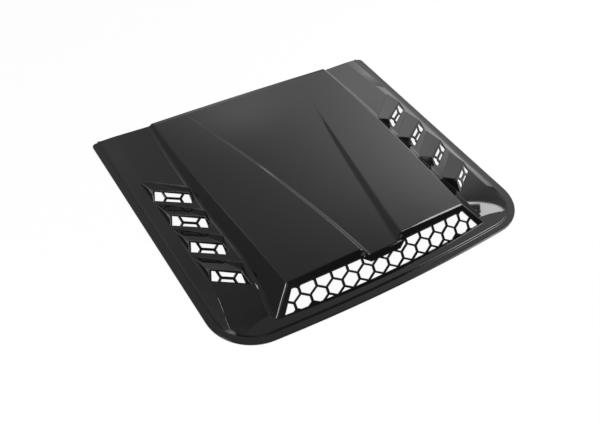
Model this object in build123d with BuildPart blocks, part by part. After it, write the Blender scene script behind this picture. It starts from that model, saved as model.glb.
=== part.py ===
"""Bonnet scoop: one moulded shell with a stepped bonding flange, eight meshed louvres and a meshed intake.

Millimetres. +Z is up off the bonnet, the intake faces -Y, and the flange stands on z = 0.
Stations run forward from the rear corners: station 0 is the rear, station `front_station` the front edge.
"""
import os
from math import cos, degrees, radians, sin, sqrt

from build123d import *

os.makedirs("parts", exist_ok=True)

# Overall plan
rear_width = 850.0
front_station = 788.0
side_taper = 0.0445
front_arc_radius = 4000.0
front_corner_radius = 110.0
rear_corner_radius = 14.0
rear_notch = (272.5, 40.5)
rear_bulge_corner = (266.0, 42.5)

# Moulding
wall = 3.0
flange_width = 17.0
flange_edge_radius = 1.5
step_height = 7.0
step_edge_radius = 2.0
step_foot_radius = 1.4
overrun = 60.0

# Wings: station, crest half-width, crest height, foot height at the bulge
wing_rim_gap = 2.5
wing_rim_sink = 1.5
wing_foot_x = 276.0
wing_inner_x = 225.0
wing_stations = [
    (-overrun, 366.0, 13.0, 28.0),
    (43.0, 364.0, 15.0, 29.5),
    (140.0, 365.0, 18.0, 29.0),
    (221.0, 365.0, 20.5, 28.0),
    (312.0, 360.0, 22.0, 27.5),
    (450.0, 356.5, 22.0, 27.0),
    (593.0, 352.0, 21.8, 25.5),
    (641.0, 352.0, 18.0, 21.5),
    (664.0, 354.5, 15.0, 19.0),
    (694.0, 358.8, 10.8, 13.0),
    (743.0, 362.0, 7.6, 4.5),
    (770.0, 362.0, 4.6, 4.0),
    (front_station + overrun, 360.0, 3.6, 3.4),
]

# Bulge: station, top edge half-width, top edge height, crown, ridge half-width, ridge fall width, centre drop
rear_bend_station = 58.0
bulge_wall_run = 1.0
foot_radius = 14.0
top_edge_radius = 4.0
bulge_stations = [
    (-overrun, 266.0, 37.0, 2.0, 204.0, 6.0, 0.0),
    (rear_bend_station, 263.7, 40.1, 2.0, 176.0, 6.0, 0.0),
    (168.0, 261.5, 43.8, 4.2, 151.0, 6.0, 0.0),
    (238.0, 258.5, 46.3, 5.6, 135.0, 6.0, 0.4),
    (361.0, 252.0, 50.7, 7.4, 109.0, 8.0, 3.6),
    (504.0, 241.5, 55.2, 8.0, 83.0, 11.0, 8.0),
    (634.0, 231.5, 57.0, 8.0, 61.5, 13.5, 11.5),
    (711.0, 225.5, 56.3, 8.0, 51.0, 15.0, 14.0),
    (front_station + overrun, 215.0, 52.0, 8.0, 36.0, 16.0, 17.0),
]

# Intake face: leans back from its foot, bowed in plan like the front edge
intake_top_station = 703.0
intake_top_z = 56.3
intake_top_x = 226.0
intake_lean = 0.8475
intake_arc_radius = 2750.0
lip_radius = 4.5
lip_reach_x = 300.0
lip_trim_x = 272.0
lip_trim_station = 722.0

# Intake mesh, laid out on the plane that touches the bowed face at its middle
mesh_bar = 5.6
mesh_pitch = 37.5
mesh_row_pitch = 26.0
mesh_first_row_v = -38.3
mesh_row_sag = 5.0
mesh_least_cell = 30.0
mesh_foot_v = -58.0
mesh_foot_half = 251.0
mesh_foot_rise = 6.0
mesh_top_half = 221.0
mesh_top_v = -7.5
mesh_lip_half = 56.0
mesh_lip_v = -8.5
mesh_dip_half = 38.0
mesh_dip_v = -23.0

# Louvres: top corners (x, station, z) of the rearmost one, the step (x, station) to the next one forward,
# and offsets (x, station, z) from the top corners to the other corners
louvre_count = 4
louvre_outer_top = (357.9, 292.2, 40.0)
louvre_outer_pitch = (-5.1, 95.4)
louvre_outer_foot = (6.2, 17.3, -18.0)
louvre_outer_rear = (11.7, -74.0, -20.0)
louvre_inner_top = (285.8, 342.0, 40.0)
louvre_inner_pitch = (-0.1, 91.9)
louvre_inner_foot = (-5.9, 26.9, -15.0)
louvre_inner_rear = (-16.1, -42.2, -12.0)
louvre_edge_radius = 1.6

# Louvre mesh, laid out down the front face from the outer top corner
louvre_bar = 6.0
louvre_outer_frame = (6.1, 8.0)
louvre_inner_frame = (0.3, -9.2)
louvre_cell_top = (3.4, 5.4)
louvre_cell_foot = 24.2
louvre_bar_down = 16.1
louvre_nodes = (0.39, 0.777)
louvre_splay_up = (0.74, 0.51)
louvre_splay_down = (0.43, 0.76)

# Rear of the bulge: its top bends down behind `rear_bend_station` and ends in a turned-down lip
rear_bend_radius = 20.0
rear_bend_clearance = 0.15
rear_bend_angle = 12.0
rear_lip_foot = 30.0


def rearmost_station():
    """Station of the rearmost points, which lie on the rounded rear corners."""
    slope = rear_notch[1] / (rear_width / 2 - rear_notch[0])
    side_offset = rear_corner_radius * sqrt(1 + side_taper ** 2)
    rear_offset = rear_corner_radius * sqrt(1 + slope ** 2)
    return (slope * side_offset + rear_offset) / (1 - slope * side_taper) - rear_corner_radius


mid_station = (front_station + rearmost_station()) / 2


def y_at(station):
    """Y of a station."""
    return mid_station - station


def station_plane(station):
    """Upright plane across the part at a station."""
    return Plane.XZ.offset(-y_at(station))


def side_x(station):
    """Half-width of the plan at a station."""
    return rear_width / 2 - side_taper * station


def plan(inset):
    """Plan region drawn in by `inset` at the sides and front, and carried past the rear."""
    far = front_station + overrun
    with BuildSketch() as region:
        Polygon(
            (-side_x(-overrun) + inset, y_at(-overrun)),
            (side_x(-overrun) - inset, y_at(-overrun)),
            (side_x(far) - inset, y_at(far)),
            (-side_x(far) + inset, y_at(far)),
            align=None,
        )
        with Locations((0, front_arc_radius + y_at(front_station))):
            Circle(front_arc_radius - inset, mode=Mode.INTERSECT)
        fillet(region.vertices().group_by(Axis.Y)[0], front_corner_radius - inset)
    return region.sketch


def rear_waste(setback):
    """Plan region behind the rear edge, the edge moved forward by `setback`."""
    far = rear_width / 2 + overrun
    edge = [
        (rear_bulge_corner[0], y_at(rear_bulge_corner[1] + setback)),
        (rear_notch[0], y_at(rear_notch[1] + setback)),
        (rear_width / 2, y_at(setback)),
        (far, y_at(setback)),
        (far, y_at(-2 * overrun)),
    ]
    mirrored = [(-x, y) for x, y in reversed(edge)]
    with BuildSketch() as region:
        Polygon(*edge, *mirrored, align=None)
    return region.sketch


def outline():
    """Plan outline of the whole part, its rear corners rounded."""
    with BuildSketch() as region:
        add(plan(0))
        add(rear_waste(0), mode=Mode.SUBTRACT)
        fillet(region.vertices().group_by(Axis.Y)[-1], rear_corner_radius)
    return region.sketch


def plinth_form(inset):
    """Low step inside the flange, the base that the wings and the apron rise from."""
    base = -10.0 if inset else 0.0
    with BuildPart() as form:
        with BuildSketch(Plane.XY.offset(base)):
            add(plan(flange_width + inset))
        extrude(amount=step_height - inset - base)
        if inset == 0:
            top = form.faces().sort_by(Axis.Z)[-1]
            fillet(top.edges().sort_by(Axis.Y)[:-1], step_edge_radius)
    return form.part


def base_form():
    """Bonding flange and the step inside it, their edges rounded."""
    inside_flange = plan(flange_width / 2).face()

    def is_step_foot(edge):
        middle = edge.position_at(0.5)
        return abs(middle.Z - wall) < 0.01 and inside_flange.is_inside(Vector(middle.X, middle.Y, 0))

    with BuildPart() as form:
        extrude(plan(0), amount=wall)
        top = form.faces().sort_by(Axis.Z)[-1]
        fillet(top.edges().sort_by(Axis.Y)[:-1], flange_edge_radius)
        add(plinth_form(0))
        fillet(form.edges().filter_by(is_step_foot), step_foot_radius)
    return form.part


def wing_form(inset):
    """Solid under the wings, sunk into the plinth at the rim and at the front."""
    base = -10.0 if inset else 0.0
    with BuildPart() as form:
        for station, crest_x, crest_z, foot_z in wing_stations:
            rim_x = side_x(station) - flange_width - wing_rim_gap
            rise = (foot_z - crest_z) / (crest_x - wing_foot_x)
            inner_z = crest_z + rise * (crest_x - wing_inner_x)
            right = [
                (rim_x, base), (rim_x, step_height - wing_rim_sink - inset), (crest_x, crest_z - inset),
                (wing_inner_x, inner_z - inset),
            ]
            left = [(-x, z) for x, z in reversed(right)]
            with BuildSketch(station_plane(station)):
                with BuildLine():
                    Polyline(*right, *left, close=True)
                make_face()
        loft()
        extrude(plan(flange_width + wing_rim_gap + inset), amount=200, both=True, mode=Mode.INTERSECT)
    return form.part


def bulge_form(inset):
    """Solid of the raised centre, its V-shaped middle dropped between two ridges."""
    base = -10.0 if inset else 0.0
    slant = sqrt(1 + bulge_wall_run ** 2)
    with BuildPart() as form:
        for station, top_x, top_z, crown, ridge_x, fall, drop in bulge_stations:
            def skin(x):
                return top_z + crown * (1 - (x / top_x) ** 2) - inset

            edge_x = top_x + inset * (bulge_wall_run - slant)
            edge_z = top_z - inset
            foot_x = edge_x + (edge_z - base) * bulge_wall_run
            outer_x = ridge_x + 0.41 * inset
            inner_x = outer_x - fall
            mid_x = (edge_x + outer_x) / 2
            valley_z = skin(inner_x) - drop
            with BuildSketch(station_plane(station)):
                with BuildLine():
                    Polyline((-edge_x, edge_z), (-foot_x, base), (foot_x, base), (edge_x, edge_z))
                    ThreePointArc((edge_x, edge_z), (mid_x, skin(mid_x)), (outer_x, skin(outer_x)))
                    Line((outer_x, skin(outer_x)), (inner_x, valley_z))
                    ThreePointArc((inner_x, valley_z), (0, skin(0) - drop), (-inner_x, valley_z))
                    Line((-inner_x, valley_z), (-outer_x, skin(outer_x)))
                    ThreePointArc((-outer_x, skin(outer_x)), (-mid_x, skin(mid_x)), (-edge_x, edge_z))
                make_face()
        loft()
    return form.part


def rear_roll(inset):
    """Space above the bent-down rear of the bulge, the bend moved in by `inset`."""
    edge_x, edge_z, crown = next(row[1:4] for row in bulge_stations if row[0] == rear_bend_station)
    crown_radius = (edge_x ** 2 + crown ** 2) / (2 * crown)
    axis_z = edge_z + crown - crown_radius
    turn = 1.15 * edge_x / crown_radius
    start = Plane(origin=(0, 0, axis_z), x_dir=(0, 1, 0), z_dir=(cos(turn), 0, sin(turn)))
    reach = 2 * overrun
    with BuildPart() as space:
        with BuildSketch(start):
            with BuildLine():
                middle = (y_at(rear_bend_station), crown_radius + rear_bend_clearance - rear_bend_radius)
                bend = CenterArc(middle, rear_bend_radius - inset, 90, -rear_bend_angle)
                fall = (cos(radians(rear_bend_angle)), -sin(radians(rear_bend_angle)))
                low = (bend @ 1) + Vector(*fall) * reach
                Polyline(bend @ 1, low, (low.X, crown_radius + reach), (middle[0], crown_radius + reach), bend @ 0)
            make_face()
        revolve(axis=Axis((0, 0, axis_z), (0, 1, 0)), revolution_arc=degrees(2 * turn))
    return space.part


def intake_axes():
    """Middle of the bowed face at the height of its top corners, and the direction up the face."""
    slant = sqrt(1 + intake_lean ** 2)
    sag = intake_arc_radius - sqrt(intake_arc_radius ** 2 - intake_top_x ** 2)
    middle = Vector(0, y_at(intake_top_station) - sag * slant, intake_top_z)
    return middle, Vector(0, intake_lean / slant, 1 / slant)


def intake_front(inset):
    """Everything ahead of the intake face, the face moved back by `inset` along its normal."""
    reach = 2 * front_station
    middle, up = intake_axes()
    with BuildPart() as ahead:
        with BuildSketch(Plane(origin=middle - up * 150, x_dir=(1, 0, 0), z_dir=up)):
            with Locations((0, inset + 60)):
                Rectangle(2 * rear_width, reach, align=(Align.CENTER, Align.MAX))
            with Locations((0, inset + intake_arc_radius)):
                Circle(intake_arc_radius, mode=Mode.SUBTRACT)
        extrude(amount=220)
    return ahead.part


def is_foot_edge(edge):
    """True for the long joint lines between the wings and the bulge wall."""
    middle = edge.position_at(0.5)
    return edge.length > front_station / 2 and 240 < abs(middle.X) < 310 and 12 < middle.Z < 40


def is_top_edge(edge):
    """True for the long upper edges of the bulge wall."""
    middle = edge.position_at(0.5)
    return edge.length > front_station / 2 and 215 < abs(middle.X) < 270 and middle.Z > 40


def is_lip_edge(edge):
    """True for the three upper edges of the intake face: two outer ones and the dropped middle."""
    middle = edge.position_at(0.5)
    ahead = y_at(intake_top_station) + 5
    return edge.length > 60 and middle.Y < ahead and middle.Z > 35 and abs(middle.X) < 200


def skin_form(inset):
    """Plinth, wings and bulge with every surface moved in by `inset`."""
    wings = wing_form(inset)
    with BuildPart() as centre:
        add(wings)
        add(bulge_form(inset))
        fillet(centre.edges().filter_by(is_foot_edge), foot_radius + inset)
        if inset == 0:
            fillet(centre.edges().filter_by(is_top_edge), top_edge_radius)
        Box(2 * lip_reach_x, 2 * front_station, 300, mode=Mode.INTERSECT)
        add(intake_front(inset), mode=Mode.SUBTRACT)
        if inset == 0:
            fillet(centre.edges().filter_by(is_lip_edge), lip_radius)
            with Locations((lip_trim_x, y_at(lip_trim_station)), (-lip_trim_x - overrun, y_at(lip_trim_station))):
                Box(overrun, 4 * overrun, 300, align=(Align.MIN, Align.MAX, Align.CENTER), mode=Mode.SUBTRACT)
    with BuildPart() as form:
        add(wings)
        add(centre.part)
        add(plinth_form(inset) if inset else base_form())
    return form.part


def louvre_point(index, corner, pitch, offset=(0, 0, 0)):
    """Place of a louvre corner on the right-hand wing."""
    x = corner[0] + index * pitch[0] + offset[0]
    station = corner[1] + index * pitch[1] + offset[1]
    return Vector(x, y_at(station), corner[2] + offset[2])


def louvre_outer(index, offset=(0, 0, 0)):
    """Corner at the outer end of a louvre."""
    return louvre_point(index, louvre_outer_top, louvre_outer_pitch, offset)


def louvre_inner(index, offset=(0, 0, 0)):
    """Corner at the inner end of a louvre."""
    return louvre_point(index, louvre_inner_top, louvre_inner_pitch, offset)


def facing_plane(corners, inside, inset):
    """Plane through three corners, moved `inset` towards `inside`, its normal facing away from it."""
    first, second, third = corners
    normal = (second - first).cross(third - first).normalized()
    if normal.dot(inside - first) > 0:
        normal = -normal
    return Plane(origin=first - normal * inset, z_dir=normal)


def louvre_hood(index, inset):
    """Wedge of one louvre on the right-hand wing."""
    outer, inner = louvre_outer(index), louvre_inner(index)
    outer_foot, inner_foot = louvre_outer(index, louvre_outer_foot), louvre_inner(index, louvre_inner_foot)
    outer_rear, inner_rear = louvre_outer(index, louvre_outer_rear), louvre_inner(index, louvre_inner_rear)
    inside = (outer + inner + inner_foot + outer_foot + outer_rear + inner_rear) / 6 - Vector(0, 0, 5)
    base = -10.0 if inset else 0.0
    with BuildPart() as hood:
        with Locations((inside.X, inside.Y, base)):
            Box(160, 160, 70, align=(Align.CENTER, Align.CENTER, Align.MIN))
        for corners in (
            (outer, inner, outer_rear),
            (outer, inner, outer_foot),
            (outer, outer_foot, outer_rear),
            (inner, inner_foot, inner_rear),
        ):
            split(bisect_by=facing_plane(corners, inside, inset), keep=Keep.BOTTOM)
        if inset == 0:
            top = hood.faces().sort_by(Axis.Z)[-1]
            fillet(top.edges().filter_by(lambda edge: edge.position_at(0.5).Z > base + 25), louvre_edge_radius)
    return hood.part


def louvre_cells(index):
    """Cutter for the mesh cells of one louvre on the right-hand wing."""
    outer, inner = louvre_outer(index), louvre_inner(index)
    outer_foot = louvre_outer(index, louvre_outer_foot)
    across = inner - outer
    normal = across.cross(outer_foot - outer).normalized()
    width = across.length
    near, far = (width * share for share in louvre_nodes)
    middle = louvre_bar_down
    with BuildPart() as cells:
        with BuildSketch(Plane(origin=outer, x_dir=across, z_dir=normal)):
            Polygon(
                (louvre_outer_frame[0], louvre_cell_top[0]),
                (width - louvre_inner_frame[0], louvre_cell_top[1]),
                (width - louvre_inner_frame[1], louvre_cell_foot),
                (louvre_outer_frame[1], louvre_cell_foot),
                align=None,
            )
            with BuildLine():
                Line((near, middle), (far, middle))
                Line((near, middle), (near - middle * louvre_splay_up[0], 0))
                Line((far, middle), (far + middle * louvre_splay_up[1], 0))
                Line((near, middle), (near - middle * louvre_splay_down[0], 2 * middle))
                Line((far, middle), (far + middle * louvre_splay_down[1], 2 * middle))
            trace(line_width=louvre_bar, mode=Mode.SUBTRACT)
        extrude(amount=7, both=True)
    return cells.part


def intake_cells():
    """Cutter for the mesh cells of the intake."""
    middle, up = intake_axes()
    half = mesh_pitch / 2 - mesh_bar / 2
    point = mesh_row_pitch * 0.75 - mesh_bar * 0.6
    shoulder = mesh_row_pitch * 0.25 - mesh_bar * 0.1
    foot_end_v = mesh_foot_v + mesh_foot_rise
    centres = []
    for row in (-1, 0, 1):
        for column in range(-7, 8):
            u = (column + (0.5 if row == 0 else 0)) * mesh_pitch
            sag = mesh_row_sag * (u / intake_top_x) ** 2
            centres.append((u, mesh_first_row_v + row * mesh_row_pitch - sag))
    with BuildPart() as cells:
        with BuildSketch(Plane(origin=middle, x_dir=(1, 0, 0), z_dir=(0, -up.Z, up.Y))) as layout:
            with Locations(*centres):
                Polygon(
                    (0, point), (half, shoulder), (half, -shoulder),
                    (0, -point), (-half, -shoulder), (-half, shoulder), align=None,
                )
            with BuildLine():
                ThreePointArc((-mesh_foot_half, foot_end_v), (0, mesh_foot_v), (mesh_foot_half, foot_end_v))
                Polyline(
                    (mesh_foot_half, foot_end_v), (mesh_top_half, mesh_top_v),
                    (mesh_lip_half, mesh_lip_v), (mesh_dip_half, mesh_dip_v),
                    (-mesh_dip_half, mesh_dip_v), (-mesh_lip_half, mesh_lip_v),
                    (-mesh_top_half, mesh_top_v), (-mesh_foot_half, foot_end_v),
                )
            make_face(mode=Mode.INTERSECT)
        whole = layout.sketch.faces().filter_by(lambda cell: cell.area > mesh_least_cell)
        extrude(to_extrude=whole, amount=22, both=True)
    return cells.part


def both_sides(parts):
    """The right-hand parts together with their mirror images."""
    return parts + [mirror(part, about=Plane.YZ, mode=Mode.PRIVATE) for part in parts]


def full_form(inset):
    """Skin and louvre hoods together, every surface moved in by `inset`."""
    hoods = [louvre_hood(index, inset) for index in range(louvre_count)]
    with BuildPart() as form:
        add(skin_form(inset))
        add(both_sides(hoods))
    return form.part


def hollow():
    """Space inside the shell, stopped short of the rear of the bulge by its turned-down lip."""
    with BuildPart() as space:
        add(full_form(wall))
        with BuildSketch(Plane.XY.offset(rear_lip_foot)):
            add(rear_waste(wall))
        extrude(amount=100, mode=Mode.SUBTRACT)
        add(rear_roll(wall), mode=Mode.SUBTRACT)
    return space.part


with BuildPart() as scoop_shell:
    add(full_form(0))
    extrude(outline(), amount=200, mode=Mode.INTERSECT)
    add(rear_roll(0), mode=Mode.SUBTRACT)
    add(hollow(), mode=Mode.SUBTRACT)
    louvre_cutters = [louvre_cells(index) for index in range(louvre_count)]
    add([intake_cells()] + both_sides(louvre_cutters), mode=Mode.SUBTRACT)
scoop_shell.part.label = "scoop_shell"
export_step(scoop_shell.part, "parts/scoop_shell.step")
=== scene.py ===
"""Studio scene of the glossy black bonnet scoop on a white floor, seen from its front left corner."""
from math import cos, pi, radians, sin

import bpy
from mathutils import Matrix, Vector

WHITE = (1.0, 1.0, 1.0, 1.0)

# Camera, in metres and degrees
LENS_MM = 37.72
SENSOR_MM = 36.0
CAMERA_PLACE = (-0.5997, -1.0044, 1.0400)
CAMERA_DOWN = 44.76
CAMERA_TURN = 30.08

# Shell: glossy black, between two values of roughness, with noise that makes the polish and a ripple
SHELL_COLOUR = (0.004, 0.004, 0.0043, 1.0)
SHELL_IOR = 1.53
SHELL_ROUGHNESS = (0.04, 0.06)
POLISH_SCALE = 22.0
POLISH_DETAIL = 3.0
RIPPLE_SCALE = 9.0
RIPPLE_DETAIL = 2.0
RIPPLE_STRENGTH = 0.03
RIPPLE_DEPTH = 0.002
NOISE_RANGE = (0.0, 1.0)

# Shaded rounding of sharp edges, in metres: its radius grows with the height above the bonding face
EDGE_HEIGHTS = (0.009, 0.060)
EDGE_RADII = (0.0018, 0.0045)
EDGE_SAMPLES = 8

# Floor, in metres
FLOOR_SIZE = 80.0
FLOOR_DROP = 0.0004
FLOOR_WHITE = (0.95, 0.95, 0.95, 1.0)
FLOOR_GLOW = 1.0
FLOOR_GLOW_SHARE = 0.95

# Studio walls: even grey light, and soft glows as (bearing, height, strength, sharpness).
# Bearings are degrees clockwise from the rear as seen from above, heights are degrees up.
WALL_LIGHT = 0.05
WALL_GLOWS = (
    (48.0, 30.0, 1.15, 15.0),
    (-25.0, 45.0, 0.50, 4.0),
    (-20.0, 46.0, 0.90, 150.0),
    (18.0, 18.0, 0.95, 110.0),
    (20.0, 28.0, 0.35, 200.0),
    (54.0, 30.0, 0.60, 80.0),
    (53.0, 12.0, 2.40, 150.0),
    (41.0, 1.0, 0.90, 200.0),
    (95.0, 18.0, 0.90, 30.0),
    (-90.0, 20.0, 0.80, 30.0),
    (-165.0, 32.0, 0.90, 30.0),
    (0.0, 90.0, 0.50, 40.0),
)

# Pale backdrop, low along the front and the sides. It fades out over these heights (the upward part
# of a unit direction) and over these reaches to the rear (its rearward part).
BACKDROP_LIGHT = 0.95
BACKDROP_TOP = (0.10, 0.14)
BACKDROP_BACK = (0.15, 0.35)
FADE_OUT = (1.0, 0.0)

# Softboxes: name, place, aim, width and height in metres, brightness
SOFTBOXES = (
    ("right", (1.422, 0.159, 1.612), (0.325, -0.295, 0.01), (0.27, 0.29), 9.0),
    ("right_front", (1.65, -0.73, 1.61), (0.15, -0.31, 0.05), (1.37, 1.00), 10.0),
    ("left", (-2.00, -0.58, 1.32), (-0.25, -0.33, 0.03), (0.60, 0.55), 18.0),
    ("left_back", (-0.53, 0.59, 2.03), (-0.35, -0.27, 0.02), (0.30, 0.16), 9.0),
)


def node_maker(tree):
    """A function that adds a node to the tree. Each input is a value or another node's output."""
    tree.nodes.clear()

    def node(kind, inputs=None, **settings):
        made = tree.nodes.new("ShaderNode" + kind)
        for key, value in settings.items():
            setattr(made, key, value)
        for socket, value in (inputs or {}).items():
            if isinstance(value, bpy.types.NodeSocket):
                tree.links.new(value, made.inputs[socket])
            else:
                made.inputs[socket].default_value = value
        return made

    return node


def new_material(name):
    """An empty material and the function that adds nodes to it."""
    material = bpy.data.materials.new(name)
    material.use_nodes = True
    return material, node_maker(material.node_tree)


def maths(node, operation, *values):
    """Result of a calculation on values or other nodes' outputs."""
    return node("Math", dict(enumerate(values)), operation=operation).outputs["Value"]


def ranged(node, value, source, target, **settings):
    """Output that takes a value from its source range to the target range."""
    inputs = {"Value": value}
    inputs["From Min"], inputs["From Max"] = source
    inputs["To Min"], inputs["To Max"] = target
    return node("MapRange", inputs, **settings).outputs["Result"]


def shell_material():
    """Glossy black moulded plastic with a faint moulding ripple and uneven polish."""
    material, node = new_material("gloss_black_plastic")
    place = node("TexCoord").outputs["Object"]
    polish = node("TexNoise", {"Vector": place, "Scale": POLISH_SCALE, "Detail": POLISH_DETAIL})
    ripple = node("TexNoise", {"Vector": place, "Scale": RIPPLE_SCALE, "Detail": RIPPLE_DETAIL})
    height = node("SeparateXYZ", {"Vector": place}).outputs["Z"]
    radius = ranged(node, height, EDGE_HEIGHTS, EDGE_RADII)
    edge = node("Bevel", {"Radius": radius}, samples=EDGE_SAMPLES)
    bump = node("Bump", {
        "Strength": RIPPLE_STRENGTH,
        "Distance": RIPPLE_DEPTH,
        "Height": ripple.outputs["Fac"],
        "Normal": edge.outputs["Normal"],
    })
    shader = node("BsdfPrincipled", {
        "Base Color": SHELL_COLOUR,
        "IOR": SHELL_IOR,
        "Roughness": ranged(node, polish.outputs["Fac"], NOISE_RANGE, SHELL_ROUGHNESS),
        "Normal": bump.outputs["Normal"],
    })
    node("OutputMaterial", {"Surface": shader.outputs["BSDF"]})
    return material


def floor_material():
    """White floor that keeps a soft shadow and looks white where the camera or a reflection sees it."""
    material, node = new_material("white_floor")
    rays = node("LightPath").outputs
    seen = maths(node, "MAXIMUM", rays["Is Camera Ray"], rays["Is Glossy Ray"])
    seen = maths(node, "MAXIMUM", seen, rays["Is Transmission Ray"])
    mix = node("MixShader", {
        "Fac": maths(node, "MULTIPLY", seen, FLOOR_GLOW_SHARE),
        1: node("BsdfDiffuse", {"Color": FLOOR_WHITE}).outputs["BSDF"],
        2: node("Emission", {"Color": WHITE, "Strength": FLOOR_GLOW}).outputs["Emission"],
    })
    node("OutputMaterial", {"Surface": mix.outputs["Shader"]})
    return material


def dress_shell(shell):
    """Gives the shell its plastic."""
    shell.data.materials.clear()
    shell.data.materials.append(shell_material())


def add_floor():
    """Large floor just under the bonding face."""
    half = FLOOR_SIZE / 2
    corners = [(-half, -half, 0), (half, -half, 0), (half, half, 0), (-half, half, 0)]
    mesh = bpy.data.meshes.new("floor")
    mesh.from_pydata(corners, [], [(0, 1, 2, 3)])
    mesh.materials.append(floor_material())
    floor = bpy.data.objects.new("floor", mesh)
    floor.location.z = -FLOOR_DROP
    bpy.context.scene.collection.objects.link(floor)


def towards(bearing, height):
    """Unit direction of a bearing and a height, both in degrees."""
    turn, rise = radians(bearing), radians(height)
    return Vector((sin(turn) * cos(rise), cos(turn) * cos(rise), sin(rise)))


def wall_light(node, look):
    """Even light of the walls with their soft glows."""
    light = WALL_LIGHT
    for bearing, height, strength, sharpness in WALL_GLOWS:
        facing = node("VectorMath", {0: look, 1: towards(bearing, height)}, operation="DOT_PRODUCT")
        front = maths(node, "MAXIMUM", facing.outputs["Value"], 0.0)
        light = maths(node, "MULTIPLY_ADD", maths(node, "POWER", front, sharpness), strength, light)
    return light


def backdrop_share(node, look):
    """1 on the pale backdrop, fading to 0 above it and towards the rear."""
    part = node("SeparateXYZ", {"Vector": look}).outputs
    low = ranged(node, part["Z"], BACKDROP_TOP, FADE_OUT, interpolation_type="SMOOTHSTEP")
    front = ranged(node, part["Y"], BACKDROP_BACK, FADE_OUT, interpolation_type="SMOOTHSTEP")
    return maths(node, "MULTIPLY", low, front)


def add_world():
    """Studio walls with soft glows and a pale backdrop."""
    world = bpy.data.worlds.new("studio")
    bpy.context.scene.world = world
    world.use_nodes = True
    node = node_maker(world.node_tree)
    look = node("TexCoord").outputs["Generated"]
    backdrop = backdrop_share(node, look)
    light = maths(node, "MULTIPLY_ADD", backdrop, BACKDROP_LIGHT, wall_light(node, look))
    walls = node("Background", {"Color": WHITE, "Strength": light})
    node("OutputWorld", {"Surface": walls.outputs["Background"]})


def add_softbox(name, place, aim, size, brightness):
    """Rectangular softbox that faces `aim`."""
    light = bpy.data.lights.new(name, "AREA")
    light.shape = "RECTANGLE"
    light.size, light.size_y = size
    light.energy = pi * brightness * size[0] * size[1]
    lamp = bpy.data.objects.new(name, light)
    lamp.location = place
    lamp.rotation_euler = (Vector(aim) - Vector(place)).to_track_quat("-Z", "Y").to_euler()
    lamp.visible_camera = False
    bpy.context.scene.collection.objects.link(lamp)


def add_camera():
    """Camera at the photograph's place."""
    data = bpy.data.cameras.new("camera")
    data.lens = LENS_MM
    data.sensor_width = SENSOR_MM
    data.sensor_fit = "HORIZONTAL"
    camera = bpy.data.objects.new("camera", data)
    camera.location = CAMERA_PLACE
    camera.rotation_euler = (radians(90 - CAMERA_DOWN), 0, radians(-CAMERA_TURN))
    bpy.context.scene.collection.objects.link(camera)
    bpy.context.scene.camera = camera


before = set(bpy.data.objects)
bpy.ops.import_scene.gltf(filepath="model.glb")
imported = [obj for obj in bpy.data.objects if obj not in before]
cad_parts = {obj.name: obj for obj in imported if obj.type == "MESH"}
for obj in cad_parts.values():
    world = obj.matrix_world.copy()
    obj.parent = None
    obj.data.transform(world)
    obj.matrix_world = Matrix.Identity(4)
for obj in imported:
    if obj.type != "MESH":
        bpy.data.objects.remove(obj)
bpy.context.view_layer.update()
bpy.context.scene.view_settings.view_transform = "Standard"
dress_shell(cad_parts["scoop_shell"])
add_floor()
add_world()
add_camera()
for softbox in SOFTBOXES:
    add_softbox(*softbox)
